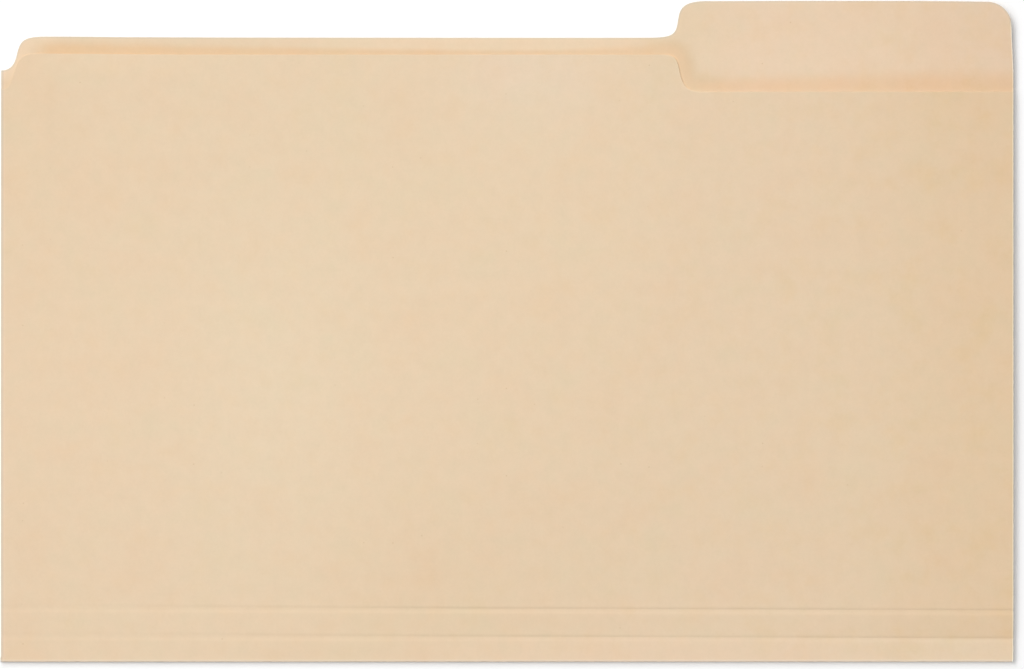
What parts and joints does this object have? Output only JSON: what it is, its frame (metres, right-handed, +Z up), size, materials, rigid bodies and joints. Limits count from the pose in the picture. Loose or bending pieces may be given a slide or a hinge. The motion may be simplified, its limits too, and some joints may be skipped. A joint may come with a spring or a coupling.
{
  "type": "file folder",
  "caption": "Closed tabbed file folder: a folded sheet of manila card with a cut tab on its back panel, a notched front panel and score lines that let its base widen.",
  "frame": {"origin": "middle of the folder's footprint, on the surface that its back panel lies on", "axes": "+X along the fold towards the tab's side, +Y from the fold to the tab, +Z up from the back panel to the front panel"},
  "size_m": [0.3746, 0.2444, 0.0032],
  "materials": {
    "manila_card": "matte"
  },
  "bodies": {
    "back_panel": {"back_panel": "manila_card", "fold_back_half": "manila_card"},
    "inner_strip": {"fold_front_half": "manila_card", "inner_expansion_strip": "manila_card"},
    "outer_strip": {"outer_expansion_strip": "manila_card"},
    "front_panel": {"front_panel": "manila_card"}
  },
  "joints": [
    {"name": "front_open", "type": "hinge", "parent": "back_panel", "child": "inner_strip", "pos_m": [0, -0.1223, 0.0006], "axis": [1, 0, 0], "range_deg": [0, 178.5]},
    {"name": "inner_score_bend", "type": "hinge", "parent": "inner_strip", "child": "outer_strip", "pos_m": [0, -0.11335, 0.00113], "axis": [1, 0, 0], "range_deg": [0, 90]},
    {"name": "outer_score_bend", "type": "hinge", "parent": "outer_strip", "child": "front_panel", "pos_m": [0, -0.10305, 0.00122], "axis": [1, 0, 0], "range_deg": [-90, 0]}
  ],
  "couplings": [
    {"joint": "outer_score_bend", "follows": "inner_score_bend", "ratio": -1}
  ]
}
